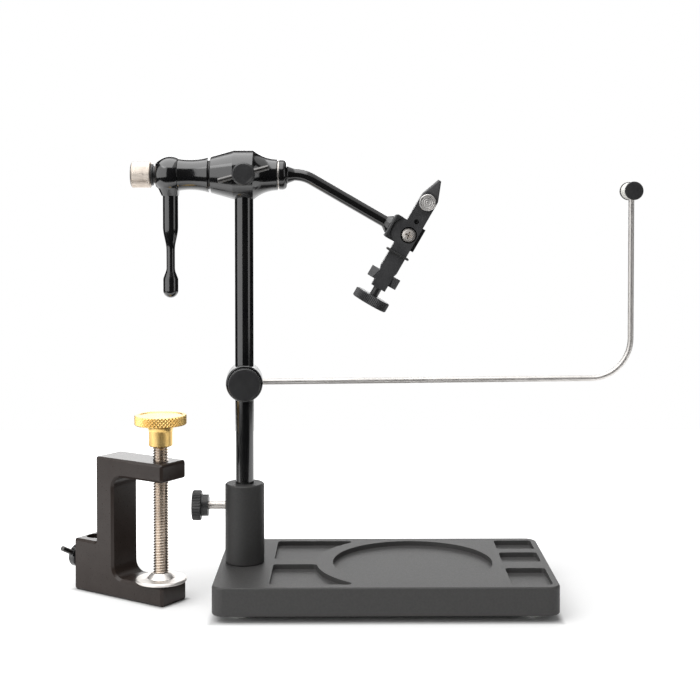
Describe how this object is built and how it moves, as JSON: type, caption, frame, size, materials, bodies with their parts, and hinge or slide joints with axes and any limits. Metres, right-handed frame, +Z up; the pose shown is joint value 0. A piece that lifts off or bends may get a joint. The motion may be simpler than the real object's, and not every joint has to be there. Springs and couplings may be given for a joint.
{
  "type": "fly tying vise",
  "caption": "Rotary vise for tying fishing flies: hinged hook jaws on a cranked arm and stem, a tray base, a bobbin cradle and a separate table clamp.",
  "frame": {"origin": "on the stem's axis at the table plane, under the feet", "axes": "+X towards the jaws and the bobbin cradle, +Y away from the maker, +Z up along the stem"},
  "size_m": [0.3065, 0.095, 0.2306],
  "materials": {
    "base_charcoal": "matte charcoal",
    "socket_charcoal": "matte charcoal",
    "stem_black": "gloss black",
    "jaw_grey": "matte dark grey",
    "knob_black": "satin black",
    "bright_steel": "bright turned",
    "brass": "polished",
    "foot_rubber": "translucent",
    "ring_rubber": "matte black",
    "nylon": "natural nylon",
    "bush_bronze": "turned bronze",
    "spool_black": "satin black"
  },
  "bodies": {
    "pedestal": {"base_plate": "base_charcoal", "rubber_feet": "foot_rubber", "socket_bolt": "bright_steel", "stem_socket": "socket_charcoal", "clamp_frame": "stem_black"},
    "socket_thumbscrew": {"socket_screw": "bright_steel", "socket_screw_knob": "knob_black"},
    "stem": {"stem": "stem_black"},
    "head": {"head_housing": "stem_black", "stem_grub_screw": "knob_black", "front_bush": "bush_bronze", "rear_bush": "bush_bronze"},
    "brake": {"brake_pad": "nylon"},
    "head_lock": {"head_lock_screw": "knob_black", "head_lock_bar": "knob_black"},
    "rotary": {"main_shaft": "bright_steel", "thrust_washer": "bright_steel", "rear_washer": "knob_black", "rear_sleeve": "stem_black", "crank_hub": "stem_black", "crank_handle": "stem_black", "knob_spacer": "knob_black", "rotary_arm": "stem_black"},
    "rear_knob": {"shaft_knob": "bright_steel"},
    "jaw_holder": {"rear_jaw": "jaw_grey", "fulcrum_pin": "knob_black", "jaw_pivot_screw": "bright_steel", "jaw_ring": "ring_rubber"},
    "moving_jaw": {"front_jaw": "jaw_grey"},
    "size_adjuster": {"jaw_size_screw": "bright_steel"},
    "traveller": {"jaw_traveller": "jaw_grey"},
    "jaw_closer": {"jaw_screw": "bright_steel", "jaw_knob": "knob_black"},
    "cradle": {"cradle_collar": "knob_black", "cradle_rod": "bright_steel", "cradle_spool": "spool_black"},
    "cradle_clamp": {"cradle_screw": "bright_steel", "cradle_knob": "knob_black"},
    "clamp_foot": {"clamp_pad": "bright_steel"},
    "clamp_drive": {"clamp_screw": "bright_steel", "clamp_knob": "brass"},
    "clamp_lock": {"clamp_lock_screw": "knob_black", "clamp_lock_bar": "knob_black"}
  },
  "joints": [
    {"name": "stem_height", "type": "slide", "parent": "pedestal", "child": "stem", "axis": [0, 0, 1], "range_m": [0, 0.02]},
    {"name": "socket_screw_turn", "type": "hinge", "parent": "pedestal", "child": "socket_thumbscrew", "pos_m": [-0.02, 0, 0.0471], "axis": [-1, 0, 0], "range_deg": [0, 720]},
    {"name": "head_swivel", "type": "hinge", "parent": "stem", "child": "head", "pos_m": [0, 0, 0.218], "axis": [0, 0, 1], "continuous": true},
    {"name": "brake_slide", "type": "slide", "parent": "head", "child": "brake", "axis": [0, -1, 0], "range_m": [0, 0.0008]},
    {"name": "lock_turn", "type": "hinge", "parent": "brake", "child": "head_lock", "pos_m": [0.001, 0, 0.218], "axis": [0, -1, 0], "range_deg": [0, 360]},
    {"name": "rotary_turn", "type": "hinge", "parent": "head", "child": "rotary", "pos_m": [0, 0, 0.218], "axis": [1, 0, 0], "continuous": true},
    {"name": "rear_knob_turn", "type": "hinge", "parent": "rotary", "child": "rear_knob", "pos_m": [0, 0, 0.218], "axis": [-1, 0, 0], "range_deg": [0, 360]},
    {"name": "jaw_pivot", "type": "hinge", "parent": "rotary", "child": "jaw_holder", "pos_m": [0.08459, -0.0008, 0.187], "axis": [0, 1, 0], "range_deg": [-12, 12]},
    {"name": "jaw_knob_turn", "type": "hinge", "parent": "jaw_holder", "child": "jaw_closer", "pos_m": [0.06894, -0.0008, 0.15989], "axis": [-0.5, 0, -0.866], "range_deg": [0, 2160]},
    {"name": "traveller_slide", "type": "slide", "parent": "jaw_holder", "child": "traveller", "axis": [0.5, 0, 0.866], "range_m": [0, 0.003]},
    {"name": "jaw_open", "type": "hinge", "parent": "jaw_holder", "child": "moving_jaw", "pos_m": [0.08854, -0.0008, 0.19384], "axis": [0.866, 0, -0.5], "range_deg": [0, 0.83082]},
    {"name": "size_screw_turn", "type": "hinge", "parent": "jaw_holder", "child": "size_adjuster", "pos_m": [0.09419, -0.0057, 0.20363], "axis": [0, -1, 0], "range_deg": [-90, 360]},
    {"name": "cradle_swing", "type": "hinge", "parent": "stem", "child": "cradle", "pos_m": [0, 0, 0.1111], "axis": [0, 0, 1], "range_deg": [-120, 120]},
    {"name": "cradle_knob_turn", "type": "hinge", "parent": "cradle", "child": "cradle_clamp", "pos_m": [0, 0, 0.1111], "axis": [0.0698, -0.9976, 0], "range_deg": [0, 720]},
    {"name": "clamp_pad_slide", "type": "slide", "parent": "pedestal", "child": "clamp_foot", "axis": [0, 0, 1], "range_m": [0, 0.04375]},
    {"name": "clamp_screw_turn", "type": "hinge", "parent": "clamp_foot", "child": "clamp_drive", "pos_m": [-0.04206, -0.00915, 0.0149], "axis": [0, 0, 1], "range_deg": [0, 11170.21]},
    {"name": "clamp_lock_turn", "type": "hinge", "parent": "pedestal", "child": "clamp_lock", "pos_m": [-0.08584, 0.01983, 0.015], "axis": [-0.8339, 0.5519, 0], "range_deg": [0, 720]}
  ],
  "couplings": [
    {"joint": "brake_slide", "follows": "lock_turn", "m_per_rad": 0.00012732},
    {"joint": "traveller_slide", "follows": "jaw_knob_turn", "m_per_rad": 0.000079577},
    {"joint": "jaw_open", "follows": "jaw_knob_turn", "ratio": 0.00038464},
    {"joint": "clamp_pad_slide", "follows": "clamp_screw_turn", "m_per_rad": 0.00022441}
  ]
}
